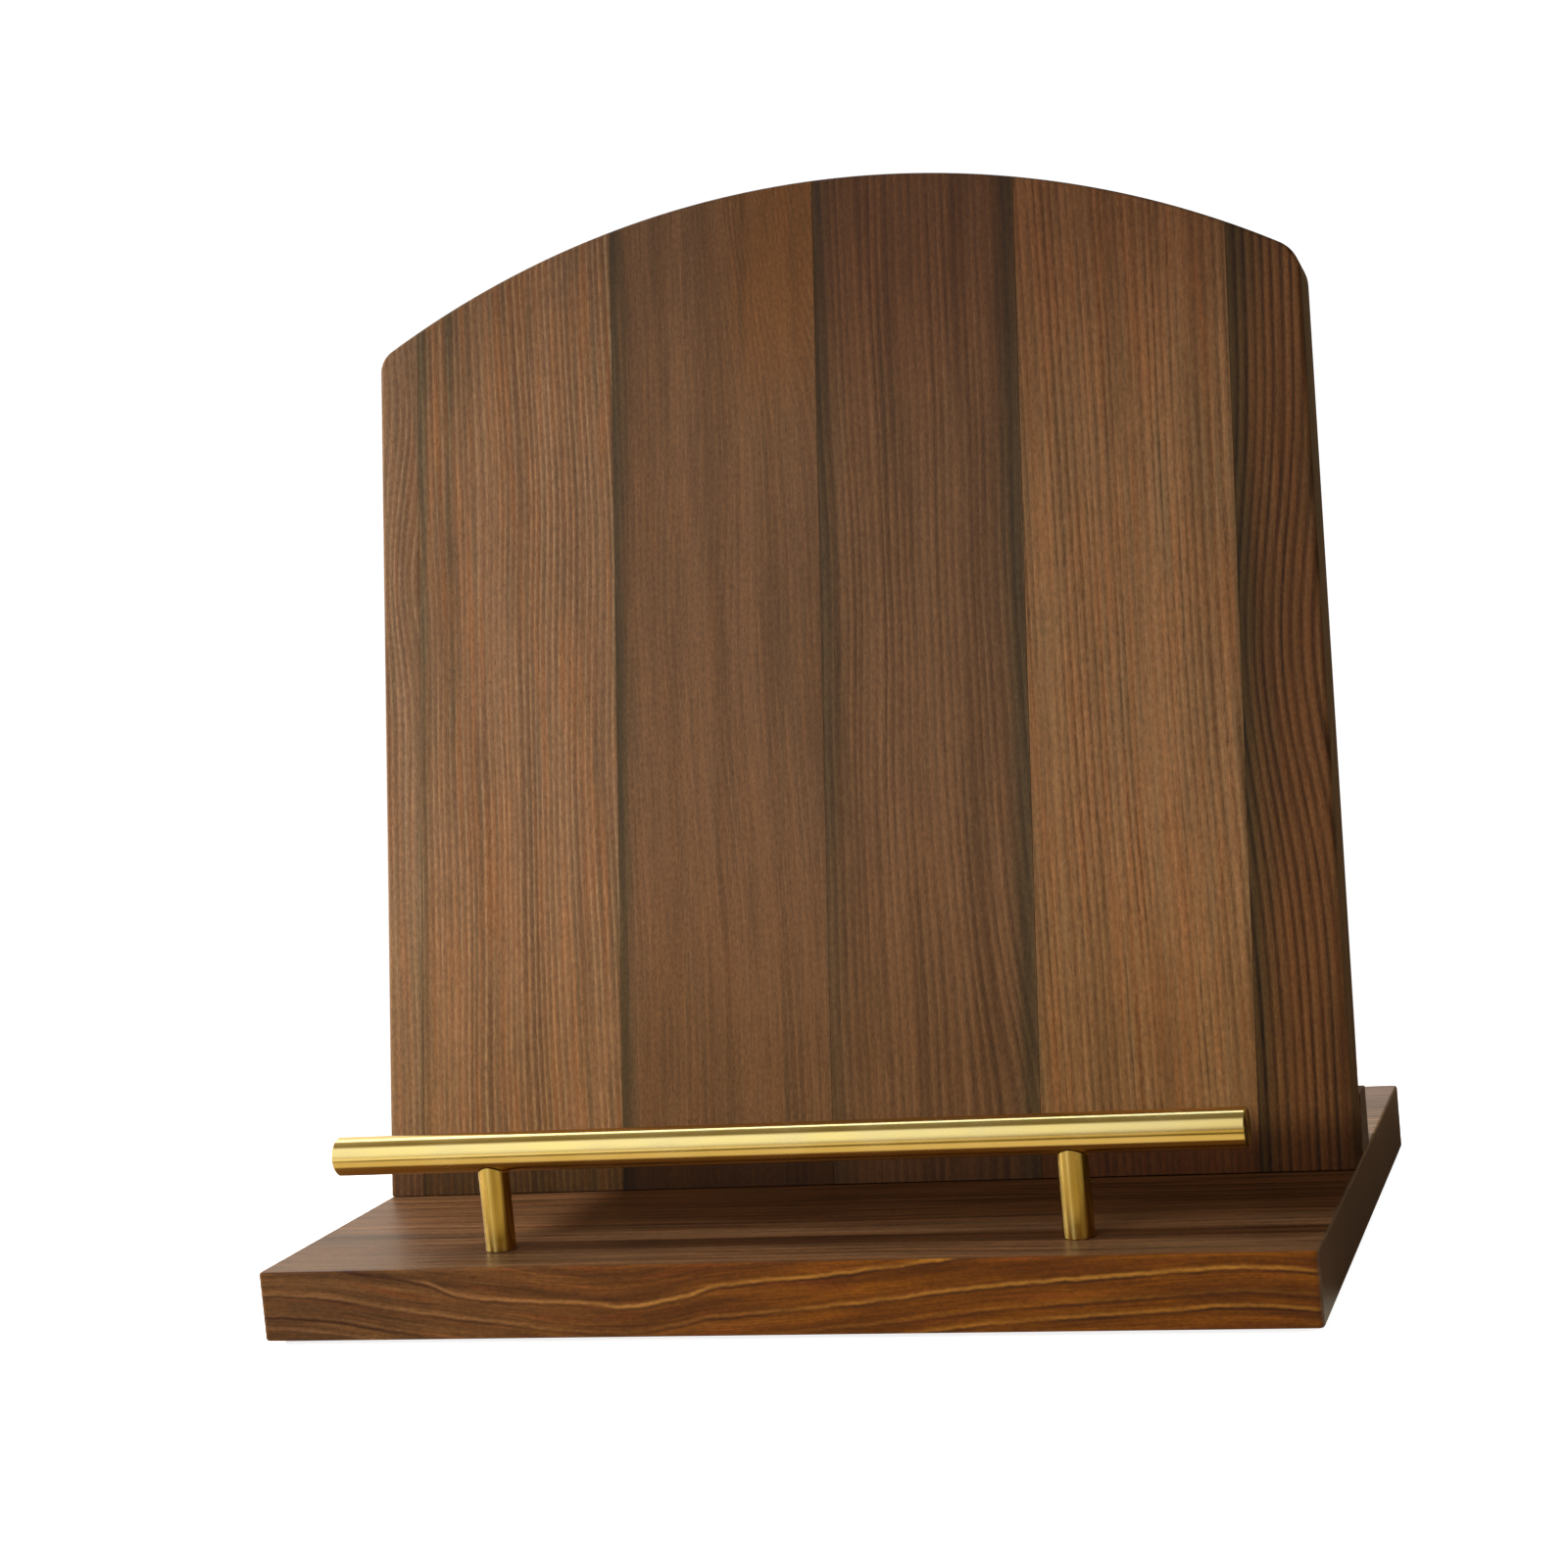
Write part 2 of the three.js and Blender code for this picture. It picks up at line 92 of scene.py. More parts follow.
class Graph:
    """The nodes of one material. A value is a number, a tuple, or a socket of another node."""

    def __init__(self, owner):
        owner.use_nodes = True
        self.tree = owner.node_tree
        self.tree.nodes.clear()

    def node(self, kind, inputs=(), **settings):
        new = self.tree.nodes.new("ShaderNode" + kind)
        for name, value in settings.items():
            setattr(new, name, value)
        for key, value in dict(inputs).items():
            self.put(new.inputs[key], value)
        return new

    def put(self, socket, value):
        if isinstance(value, bpy.types.NodeSocket):
            self.tree.links.new(value, socket)
        else:
            socket.default_value = value

    def math(self, operation, *values):
        return self.node("Math", enumerate(values), operation=operation).outputs[0]

    def sum(self, *values):
        total = values[0]
        for value in values[1:]:
            total = self.math("ADD", total, value)
        return total

    def product(self, *values):
        total = values[0]
        for value in values[1:]:
            total = self.math("MULTIPLY", total, value)
        return total

    def vector(self, x, y, z):
        return self.node("CombineXYZ", {"X": x, "Y": y, "Z": z}).outputs[0]

    def vector_math(self, operation, *values):
        return self.node("VectorMath", enumerate(values), operation=operation).outputs[0]

    def dot(self, vector, direction):
        inputs = {0: vector, 1: tuple(direction)}
        return self.node("VectorMath", inputs, operation="DOT_PRODUCT").outputs["Value"]

    def object_place(self):
        return self.node("TexCoord").outputs["Object"]

    def noise(self, vector, scale=1.0, detail=2.0, roughness=0.5):
        inputs = {"Vector": vector, "Scale": scale, "Detail": detail, "Roughness": roughness}
        return self.node("TexNoise", inputs).outputs[0]

    def range(self, value, low, high, to_low=0.0, to_high=1.0, smooth=True):
        inputs = {0: value, 1: low, 2: high, 3: to_low, 4: to_high}
        kind = "SMOOTHSTEP" if smooth else "LINEAR"
        return self.node("MapRange", inputs, interpolation_type=kind).outputs[0]

    def mix(self, factor, first, second, blend="MIX"):
        new = self.node("Mix", data_type="RGBA", blend_type=blend)
        self.put(new.inputs[0], factor)
        self.put(new.inputs[6], first)
        self.put(new.inputs[7], second)
        return new.outputs[2]

    def ramp(self, value, stops):
        """A grey level that goes smoothly through stops of (place, level)."""
        new = self.node("ValToRGB", {0: value})
        new.color_ramp.interpolation = "EASE"
        elements = new.color_ramp.elements
        while len(elements) < len(stops):
            elements.new(0.5)
        for element, (place, level) in zip(elements, stops):
            element.position = place
            element.color = (level, level, level, 1)
        return new.outputs[0]

    def levelled(self, colour, level):
        """The colour, made lighter or darker by a level."""
        return self.mix(1.0, colour, self.vector(level, level, level), "MULTIPLY")

    def tinted(self, colour, share, tint):
        """The colour, multiplied by the tint as far as the share goes."""
        product = self.mix(1.0, colour, (*tint, 1), "MULTIPLY")
        return self.mix(share, colour, product)

    def bell(self, value, centre, width):
        """1 where the value is at the centre, and nearly 0 two widths away."""
        away = self.math("DIVIDE", self.math("SUBTRACT", value, centre), width)
        return self.math("EXPONENT", self.product(self.product(away, away), -1.0))

    def bump(self, strength, distance, height):
        inputs = {"Strength": strength, "Distance": distance, "Height": height}
        return self.node("Bump", inputs).outputs[0]

    def surface(self, shader):
        out = self.tree.nodes.new("ShaderNodeOutputMaterial")
        self.tree.links.new(shader.outputs[0], out.inputs["Surface"])


def new_material(name):
    material = bpy.data.materials.new(name)
    return material, Graph(material)


# Wood. A point of a board has three coordinates, in mm: across the grain, along it, and in depth

ACROSS, ALONG, DEPTH = range(3)


def panel_coordinates(graph):
    """The coordinates of a point in the panel, measured from the middle of its foot."""
    from_foot = graph.vector_math("SUBTRACT", graph.object_place(), tuple(PANEL_FOOT))
    directions = (Vector((1, 0, 0)), PANEL_UP, PANEL_OUT)
    return [graph.dot(from_foot, direction / MM) for direction in directions]


def base_coordinates(graph):
    """The coordinates of a point in a base board, whose grain runs along X."""
    place = graph.object_place()
    directions = (Vector((0, 1, 0)), Vector((1, 0, 0)), Vector((0, 0, 1)))
    return [graph.dot(place, direction / MM) for direction in directions]


# Noises drawn out along the grain: size across and along it in mm, what is added to the board's seed,
# detail and roughness
GRAIN_NOISES = {
    "wander": (60, 170, 0, 1.0, 0.5),
    "fade": (9, 70, 3, 2.0, 0.5),
    "dashes": (0.8, 5, 5, 3.0, 0.6),
    "fibres": (0.28, 14, 7, 3.0, 0.65),
    "pores": (0.35, 3.5, 9, 1.0, 0.5),
    "warm": (2.4, 55, 13, 2.0, 0.5),
    "cool": (2.1, 65, 17, 2.0, 0.5),
    "ragged": (4, 60, 19, 2.0, 0.5),
    "mottling": (0.8, 1.8, 21, 2.0, 0.6),
}
PATCH_NOISE = (11, 3.0, 0.5)  # as above, with the sizes from the board's look
SEED_STEPS = (1, 2.3, 5.1)  # how far one unit of seed moves a noise along each axis
# The levels between which a noise goes from nothing to its full effect
REACH = {
    "fade": (0.32, 0.62), "dashes": (0.35, 0.6), "pores": (0.66, 0.76), "patches": (0.3, 0.7),
    "warm": (0.42, 0.7), "cool": (0.45, 0.72),
}
NOISE_SPREAD = (0.25, 0.75)  # where most of a noise's values lie
FIBRE_LEVELS = (0.78, 1.22)
MOTTLING_LEVELS = (0.75, 1.25)
PORE_SHARE = 0.35
RAGGED = 3.0  # how far a band's edges wander, in mm
BAND_HEIGHTS = (60.0, 300.0)  # between these a band's strength goes from its low value to its high one

# Strength of a ring's dark and light line, by the place in the ring, and the least that a ring shows
LATE_LINE = [(0.0, 0.0), (0.38, 0.0), (0.62, 1.0), (0.78, 0.85), (0.94, 0.0)]
EARLY_LINE = [(0.0, 0.7), (0.13, 1.0), (0.36, 0.0), (0.9, 0.0), (1.0, 0.7)]
LEAST_RING = 0.5
RING_PERIOD = 11.0  # over which the rings' spacing goes up and down, in mm

# End grain: how squarely a face cuts the grain where it starts and is full, and its levels
END_TURN = (0.45, 0.9)
END_RING_LEVELS = (1.1, 0.82)
END_MOTTLING_LEVELS = (0.8, 1.2)

# Relief and gloss
EARLY_HEIGHT, FIBRE_HEIGHT, PORE_HEIGHT = 0.5, 0.7, -0.8
WOOD_BUMP = (0.55, 0.09 * MM)
LATE_GLOSS, FIBRE_GLOSS = -0.05, 0.18


def stretched(graph, coordinates, across_size, along_size, seed, detail, roughness):
    """Noise drawn out along the grain. The sizes are in mm."""
    vector = graph.vector(
        graph.math("DIVIDE", coordinates[ACROSS], across_size),
        graph.math("DIVIDE", coordinates[ALONG], along_size),
        graph.math("DIVIDE", coordinates[DEPTH], across_size),
    )
    moved = graph.vector_math("ADD", vector, tuple(step * seed for step in SEED_STEPS))
    return graph.noise(moved, detail=detail, roughness=roughness)


def grain_noise(graph, coordinates, look, kind):
    """One of the board's noises, from 0 to 1."""
    across_size, along_size, step, detail, roughness = GRAIN_NOISES[kind]
    return stretched(graph, coordinates, across_size, along_size, look["seed"] + step, detail, roughness)


def centred(graph, noise, amount):
    return graph.math("MULTIPLY", graph.math("SUBTRACT", noise, 0.5), amount)


def ring_place(graph, coordinates, look):
    """How far a point lies across the growth rings, in mm, with the grain's wander and swells."""
    across, along, depth = coordinates
    parts = [
        across,
        centred(graph, grain_noise(graph, coordinates, look, "wander"), look["wander"]),
        graph.math("MULTIPLY", along, look["tilt"]),
        graph.math("MULTIPLY", depth, look["dip"]),
    ]
    for centre, height, width, length, shift in look["swells"]:
        shape = graph.product(graph.bell(across, centre, width), graph.bell(along, height, length))
        parts.append(graph.product(shape, shift))
    place = graph.sum(*parts)
    along_period = graph.vector(graph.math("DIVIDE", place, RING_PERIOD), look["seed"], 0.0)
    return graph.sum(place, centred(graph, graph.noise(along_period, detail=1.0), look["unevenness"]))


def ring_lines(graph, coordinates, look):
    """The strength of the rings' dark lines, that of their light lines, and each ring's own strength."""
    turns = graph.math("DIVIDE", ring_place(graph, coordinates, look), look["spacing"])
    phase = graph.math("FRACT", turns)
    ring = graph.math("FLOOR", turns)
    luck = graph.node("TexWhiteNoise", {"W": ring}, noise_dimensions="1D").outputs["Value"]
    strength = graph.range(luck, 0.0, 1.0, LEAST_RING, 1.0, smooth=False)
    return graph.ramp(phase, LATE_LINE), graph.ramp(phase, EARLY_LINE), strength


def ground_colour(graph, coordinates, look):
    """The board's colour between its ring lines: soft patches with warm and cool streaks."""
    step, detail, roughness = PATCH_NOISE
    noise = stretched(graph, coordinates, *look["patch_size"], look["seed"] + step, detail, roughness)
    patches = graph.range(noise, *REACH["patches"])
    colour = graph.mix(patches, linear(*look["deep"]), linear(*look["light"]))
    for streak in ("warm", "cool"):
        reach = graph.range(grain_noise(graph, coordinates, look, streak), *REACH[streak])
        colour = graph.mix(graph.product(reach, look[streak + "_share"]), colour, linear(*look[streak]))
    return colour


def with_lines(graph, coordinates, look, colour, late, early, strength):
    """The colour with the rings' lines, which fade and break up here and there."""
    fade, dashes = [
        graph.range(grain_noise(graph, coordinates, look, kind), *REACH[kind], look["faint"], 1.0)
        for kind in ("fade", "dashes")
    ]
    for line, shape in (("late", late), ("early", early)):
        reach = graph.product(shape, strength, fade, dashes, look[line + "_share"])
        colour = graph.mix(reach, colour, linear(*look[line]))
    return colour


def with_tones_and_painted_shade(graph, coordinates, look, colour):
    """The colour with the board's broad changes of tone, and the shade and light painted into it."""
    for limits, full in look["tones_and_painted_shade"]:
        reach = graph.product(*[graph.range(coordinates[axis], *limit) for axis, *limit in limits])
        colour = graph.tinted(colour, reach, full)
    return colour


def with_bands(graph, coordinates, look, colour):
    """The colour with the dark bands beside the panel's slanted joints."""
    across, along = coordinates[ACROSS], coordinates[ALONG]
    for joint, offset, width, low, high in look["bands"]:
        away = graph.math("SUBTRACT", across, joint)
        away = graph.math("SUBTRACT", away, graph.math("MULTIPLY", along, STAVE_SLANT))
        ragged = centred(graph, grain_noise(graph, coordinates, look, "ragged"), RAGGED)
        shape = graph.bell(graph.sum(away, ragged), offset, width)
        strength = graph.range(along, *BAND_HEIGHTS, low, high, smooth=False)
        colour = graph.tinted(colour, graph.product(shape, strength), look["band"])
    return colour


def with_end_grain(graph, look, colour, late, mottling):
    """The colour, with that of end grain on the faces that cut across the grain."""
    normal = graph.node("NewGeometry").outputs["Normal"]
    squareness = graph.math("ABSOLUTE", graph.dot(normal, look["grain"]))
    share = graph.range(squareness, *END_TURN, 0.0, look["end_share"])
    level = graph.product(
        graph.range(late, 0.0, 1.0, *END_RING_LEVELS),
        graph.range(mottling, *NOISE_SPREAD, *END_MOTTLING_LEVELS, smooth=False),
    )
    return graph.mix(share, colour, graph.levelled(linear(*look["end"]), level))


def wood(name, coordinate_function, look, finish=None):
    """A board's material. A finish is a function that lays its own grain over the colour."""
    material, graph = new_material(name)
    coordinates = coordinate_function(graph)
    late, early, strength = ring_lines(graph, coordinates, look)
    fibres = grain_noise(graph, coordinates, look, "fibres")
    mottling = grain_noise(graph, coordinates, look, "mottling")
    pores = graph.range(grain_noise(graph, coordinates, look, "pores"), *REACH["pores"])

    colour = ground_colour(graph, coordinates, look)
    colour = with_lines(graph, coordinates, look, colour, late, early, strength)
    colour = graph.tinted(colour, 1.0, look["tone"])
    colour = with_tones_and_painted_shade(graph, coordinates, look, colour)
    if finish:
        colour = finish(graph, coordinates, colour)
    fine_level = graph.product(
        graph.range(fibres, *NOISE_SPREAD, *FIBRE_LEVELS, smooth=False),
        graph.range(mottling, *NOISE_SPREAD, *MOTTLING_LEVELS, smooth=False),
    )
    colour = graph.levelled(colour, fine_level)
    colour = graph.mix(graph.product(pores, PORE_SHARE), colour, linear(*look["pore"]))
    colour = with_bands(graph, coordinates, look, colour)
    colour = with_end_grain(graph, look, colour, late, mottling)

    relief = graph.sum(
        graph.product(early, strength, EARLY_HEIGHT),
        graph.product(fibres, FIBRE_HEIGHT),
        graph.product(pores, PORE_HEIGHT),
    )
    gloss = graph.sum(
        look["roughness"], graph.product(late, LATE_GLOSS), centred(graph, fibres, FIBRE_GLOSS)
    )
    graph.surface(graph.node("BsdfPrincipled", {
        "Base Color": colour,
        "Roughness": gloss,
        "Normal": graph.bump(*WOOD_BUMP, relief),
        "Specular IOR Level": look["specular"],
    }))
    return material


# A board's look. Sizes are in mm, colours are display values, and shares go from 0 to 1.
# wander, tilt, dip, swells and unevenness bend the rings, and spacing is the way from ring to ring.
# deep and light are the ground's colours, warm and cool its streaks, late and early the rings' lines,
# pore and end the colours of pores and end grain. faint is the least strength of a fading line.
# A swell is (across, along, width, length, shift). A band is (joint, offset, width, strength low on the
# board, strength high on it), and its full tint is under band. grain is the direction of the grain.
WOOD = {
    "wander": 10.0, "tilt": 0.0, "dip": 0.35, "swells": [], "unevenness": 5.0, "spacing": 2.6,
    "deep": (108, 76, 52), "light": (146, 106, 76), "warm": (156, 94, 54), "warm_share": 0.4,
    "cool": (104, 88, 62), "cool_share": 0.35, "late": (66, 40, 25), "late_share": 0.8,
    "early": (166, 128, 92), "early_share": 0.6, "faint": 0.45, "pore": (50, 32, 21), "bands": [],
    "band": (0.36, 0.54, 0.58), "grain": PANEL_UP, "end": (80, 58, 40), "end_share": 0.75,
    "patch_size": (8, 140), "roughness": 0.5, "specular": 0.12, "tone": (1, 1, 1),
    # Where tone changes or shade is painted in: the ranges (axis, from, to) in which it does, and its full
    # tint
    "tones_and_painted_shade": [
        # painted shade: darker up the panel, and more so near its top
        ([(ALONG, 60, 250)], (0.8, 0.81, 0.83)),
        ([(ALONG, 270, 350)], (0.74, 0.72, 0.7)),
        # warmer towards the foot
        ([(ALONG, 150, 20)], (1.03, 0.99, 0.86)),
        # painted shade at the panel's foot, under the rail
        ([(ALONG, 24, 8)], (0.42, 0.36, 0.3)),
    ],
}
JOINT_1, JOINT_2, JOINT_3, JOINT_4, JOINT_5 = STAVE_JOINTS
# Painted shade: the upper part of the right-hand boards darker
UPPER_RIGHT_SHADE = ([(ALONG, 225, 325)], (0.8, 0.7, 0.66))
# Where more painted shade under the rail darkens the foot of some boards
RAIL_SHADE_FOOT = [(ALONG, 22, 8)]
STAVE_LOOKS = [
    {
        "tone": (0.79, 0.77, 0.74),
        "seed": 11.0, "spacing": 2.9, "deep": (114, 84, 60), "light": (138, 107, 79),
        "warm": (148, 99, 64), "early": (166, 134, 102), "late": (80, 53, 35), "late_share": 0.55,
        "swells": [(-160, 222, 9, 26, 4.5), (-160, 285, 9, 24, -3.0)],
        "bands": [(JOINT_1, 0.0, 1.2, 0.35, 0.3)],
    },
    {
        # painted shade under the rail, at the foot
        "tone": (0.83, 0.85, 0.84), "tones_and_painted_shade": WOOD["tones_and_painted_shade"] + [(RAIL_SHADE_FOOT, (0.62, 0.68, 0.6))],
        "seed": 23.0, "spacing": 2.5, "deep": (110, 78, 53), "light": (134, 96, 67),
        "warm": (156, 96, 53), "late_share": 0.42, "early_share": 0.75,
        "swells": [(-90, 150, 20, 90, 3.0)],
        "bands": [
            (JOINT_1, 1.5, 2.6, 0.35, 0.75),
            (JOINT_1, 12.5, 1.8, 0.0, 0.65),
            (JOINT_2, 0.3, 1.3, 0.6, 0.4),
        ],
    },
    {
        "tone": (0.89, 0.88, 0.85),
        "tones_and_painted_shade": WOOD["tones_and_painted_shade"] + [
            ([(ALONG, 250, 320), (ACROSS, -48, -18)], (1.14, 0.98, 0.72)),
            # painted shade under the rail, at the foot
            (RAIL_SHADE_FOOT, (0.42, 0.38, 0.28)),
        ],
        "seed": 37.0, "spacing": 2.7, "deep": (93, 66, 44), "light": (111, 79, 54),
        "warm": (126, 84, 51), "warm_share": 0.25, "cool": (88, 71, 50), "cool_share": 0.2,
        "late": (64, 42, 27), "late_share": 0.3, "early": (136, 98, 68), "early_share": 0.35,
        "faint": 0.2, "wander": 14.0,
        "swells": [(-2, 372, 34, 78, 30.0), (-50, 180, 25, 70, 5.0)],
        "bands": [(JOINT_2, 0.0, 5.0, 0.8, 0.75), (JOINT_3, 0.0, 0.7, 0.35, 0.2)],
    },
    {
        "tone": (0.97, 0.97, 0.91),
        # painted shade at the upper right, and under the rail at the foot
        "tones_and_painted_shade": WOOD["tones_and_painted_shade"] + [UPPER_RIGHT_SHADE, (RAIL_SHADE_FOOT, (0.75, 0.75, 0.8))],
        "seed": 41.0, "spacing": 3.0, "deep": (84, 58, 38), "light": (107, 75, 51),
        "warm": (118, 78, 48), "warm_share": 0.2, "cool": (82, 66, 46), "cool_share": 0.2,
        "late": (47, 29, 18), "late_share": 0.55, "early": (130, 94, 65), "early_share": 0.45,
        "swells": [(74, -10, 30, 85, -13.0)],
        "bands": [(JOINT_3, 0.0, 6.5, 0.5, 0.8), (JOINT_4, -2.5, 4.6, 0.75, 0.75)],
    },
    {
        "tone": (0.93, 0.93, 0.9),
        # painted shade at the upper right, and under the rail at the foot
        "tones_and_painted_shade": WOOD["tones_and_painted_shade"] + [UPPER_RIGHT_SHADE, (RAIL_SHADE_FOOT, (0.5, 0.4, 0.38))],
        "seed": 53.0, "spacing": 2.9, "deep": (110, 77, 48), "light": (133, 95, 62),
        "warm": (144, 89, 50), "late": (62, 39, 22), "late_share": 0.75, "faint": 0.35,
        "early": (156, 116, 78), "early_share": 0.45, "wander": 6.0, "tilt": 0.02,
        "swells": [(128, 190, 26, 120, 5.0)],
        "bands": [(JOINT_4, 0.0, 1.0, 0.25, 0.25), (JOINT_5, -0.5, 1.2, 0.35, 0.35)],
    },
    {
        "tone": (0.93, 0.91, 0.86),
        "seed": 67.0, "spacing": 3.3, "deep": (78, 48, 25), "light": (102, 65, 36),
        "warm": (108, 66, 36), "cool": (70, 54, 34), "late": (24, 13, 6), "late_share": 1.0,
        "early": (118, 84, 54), "early_share": 0.5, "faint": 0.7, "wander": 5.0,
        "swells": [(160, 168, 40, 58, 10.0)],
        "bands": [(JOINT_5, 0.5, 6.5, 0.8, 0.85)],
    },
]
UPPER_PART = (DEPTH, 6, 18)  # keeps a base board's shade off the slab's underside
BEHIND_PANEL = (ACROSS, -6, -16)  # ends a shade just behind the panel's face
# Painted shade on the base's top: a dark zone before the panel, standing for the shade of rail and panel,
# a painted shadow of the rail as a dark line under it, and a lighter step over most of the zone
BASE_WOOD = {
    "grain": Vector((1, 0, 0)), "dip": 0.5, "wander": 12.0, "spacing": 4.5, "roughness": 0.42,
    "deep": (66, 44, 26), "light": (104, 73, 47), "warm": (114, 71, 40), "cool": (78, 64, 45),
    "late": (38, 23, 13), "early": (114, 83, 57), "early_share": 0.5, "patch_size": (4.5, 70),
    "end": (88, 64, 45), "end_share": 0.95,
    "tones_and_painted_shade": [
        # painted shade before the panel
        ([UPPER_PART, (ACROSS, -92, -62), BEHIND_PANEL, (ALONG, -104, -78)], (0.26, 0.21, 0.16)),
        # painted shadow of the rail
        ([UPPER_PART, (ACROSS, -102, -96), (ACROSS, -85, -91), (ALONG, -98, -84)], (0.6, 0.48, 0.36)),
        # lighter step inside the painted shade
        ([UPPER_PART, (ACROSS, -76, -66), BEHIND_PANEL], (1.22, 1.16, 1.1)),
    ],
}
# Painted light: the top of the base at the right of the panel, made lighter where the panel's shadow falls
RIGHT_STRIP_PAINTED_LIGHT = ([UPPER_PART, (ACROSS, -6, 10), (ACROSS, 95, 60), (ALONG, 161, 166)], (2.0, 1.95, 1.7))
BASE_LOOKS = {
    "front": {"seed": 71.0},
    "middle": {"seed": 83.0, "tones_and_painted_shade": BASE_WOOD["tones_and_painted_shade"] + [RIGHT_STRIP_PAINTED_LIGHT]},
    "rear": {
        "seed": 97.0, "deep": (112, 82, 64), "light": (150, 116, 94), "early": (170, 134, 110),
        "tones_and_painted_shade": [RIGHT_STRIP_PAINTED_LIGHT],
    },
}
BATTEN_LOOK = {
    "seed": 103.0, "roughness": 0.75, "deep": (70, 48, 33), "light": (98, 68, 46), "tones_and_painted_shade": [],
}

# Bold lines on the slab's front edge. Heights are in mm above the ground, and strengths are shares,
# both as (place along the slab, value). The lower lines follow the second one, each by its drop
EDGE_LOW, EDGE_HIGH = -20, 40
EDGE_HALF = 172
EDGE_FIRST = [
    (-172, 32), (-142, 25.2), (-128, 23.2), (-115, 20.7), (-99, 15.3), (-85, 14), (-63, 13),
    (-45, 11.3), (-34, 12.6), (-23, 14.9), (-13, 17.7), (2, 18.8), (17, 19.9), (45, 22.7),
    (71, 25.6), (172, 36),
]
EDGE_SECOND = [
    (-172, 17.3), (-150, 16), (-125, 11.8), (-105, 9), (-85, 6.6), (-65, 4), (-45, 3.2), (-30, 5),
    (-19, 7.3), (0, 8.8), (20, 10.4), (40, 12.3), (60, 14.7), (80, 16.4), (100, 17.6), (120, 18.8),
    (150, 20.2), (172, 18.6),
]
EDGE_LINES = [
    {
        "height": EDGE_FIRST, "drop": 0.0,
        "bright": [
            (-172, 0), (-128, 0), (-112, 0.5), (-60, 0.75), (-20, 0.85), (20, 0.75), (60, 0.45), (90, 0.1),
        ],
        "dark": [
            (-172, 0), (-145, 0.5), (-130, 0.85), (-100, 0.8), (-60, 0.5), (20, 0.8), (65, 0.8), (95, 0),
        ],
    },
    {
        "height": EDGE_SECOND, "drop": 0.0,
        "bright": [
            (-172, 0.15), (-120, 0.3), (-95, 0.4), (-60, 0.15), (-20, 0.2), (20, 0.55), (140, 0.8),
            (172, 0.1),
        ],
        "dark": [
            (-172, 0.85), (-140, 0.8), (-110, 0.35), (-60, 0.3), (-20, 0.7), (140, 0.75), (172, 0.85),
        ],
    },
    {
        "height": EDGE_SECOND, "drop": 7.0,
        "bright": [(-172, 0.1), (172, 0.2)],
        "dark": [(-172, 0.9), (-135, 0.85), (-100, 0.3), (30, 0.3), (80, 0.6), (172, 0.7)],
    },
    {
        "height": EDGE_SECOND, "drop": 11.5,
        "bright": [(-172, 0.3), (-140, 0.3), (-60, 0.1), (40, 0.3), (110, 0.5), (172, 0.4)],
        "dark": [(-172, 0.2), (-60, 0.2), (40, 0.6), (110, 0.9), (172, 0.8)],
    },
]
EDGE_DEPTH = (0.6, 2.6)  # behind the front face, where the bold grain gives way to the fine one
# Noises that flow with the lines: size across and along them in mm, seed and detail
EDGE_NOISES = {
    "cloud": (4.5, 60, 31.0, 2.0),
    "red": (2.6, 34, 37.0, 2.0),
    "streaks": (0.7, 22, 47.0, 3.0),
    "luck": (9, 24, 43.0, 2.0),
    "ripple": (30, 7, 53.0, 2.0),
}
EDGE_CLOUD_REACH = (0.3, 0.7)
EDGE_RED_REACH, EDGE_RED_SHARES = (0.5, 0.75), (0.0, 0.45)
EDGE_STREAK_REACH, EDGE_STREAK_LEVELS = (0.28, 0.72), (0.7, 1.26)
EDGE_LUCK_REACH, EDGE_LUCK_SHARES = (0.3, 0.6), (0.45, 1.0)
EDGE_RIPPLE = 1.3  # how far the lines ripple, in mm
# Colours at the slab's left and right, and where the left ones give way
EDGE_SIDES = (-150.0, 40.0)
EDGE_GROUND = ((98, 64, 31), (110, 60, 6))
EDGE_DEEP = ((70, 43, 19), (80, 40, 4))
EDGE_BRIGHT = ((152, 105, 64), (166, 112, 40))
EDGE_RED = (110, 52, 16)
EDGE_DARK = (46, 22, 8)
# A line's bright upper side and dark lower side: centre above the line, and width, in mm
LINE_BRIGHT = (0.75, 0.65)
LINE_DARK = (-0.25, 0.5)


def curve_along(graph, share, points, low, high):
    """A value between low and high that follows (place along the slab, value) points."""
    curve = graph.node("FloatCurve", {"Value": share})
    line = curve.mapping.curves[0]
    while len(line.points) < len(points):
        line.points.new(0.5, 0.5)
    for point, (x, value) in zip(line.points, points):
        point.location = ((x + EDGE_HALF) / (2 * EDGE_HALF), (value - low) / (high - low))
    curve.mapping.update()
    return graph.range(curve.outputs[0], 0.0, 1.0, low, high, smooth=False)


def flowing(graph, along, flow, kind):
    """One of the noises that flow with the lines, from 0 to 1."""
    across_size, along_size, seed, detail = EDGE_NOISES[kind]
    vector = graph.vector(
        graph.math("DIVIDE", along, along_size), graph.math("DIVIDE", flow, across_size), seed
    )
    return graph.noise(vector, detail=detail)


def edge_ground(graph, along, flow, side):
    """The front edge's colour between its lines."""
    ground, deep = [
        graph.mix(side, linear(*left), linear(*right)) for left, right in (EDGE_GROUND, EDGE_DEEP)
    ]
    cloud = graph.range(flowing(graph, along, flow, "cloud"), *EDGE_CLOUD_REACH)
    ground = graph.mix(cloud, ground, deep)
    red = graph.range(flowing(graph, along, flow, "red"), *EDGE_RED_REACH, *EDGE_RED_SHARES)
    ground = graph.mix(red, ground, linear(*EDGE_RED))
    streaks = flowing(graph, along, flow, "streaks")
    level = graph.range(streaks, *EDGE_STREAK_REACH, *EDGE_STREAK_LEVELS, smooth=False)
    return graph.levelled(ground, level)


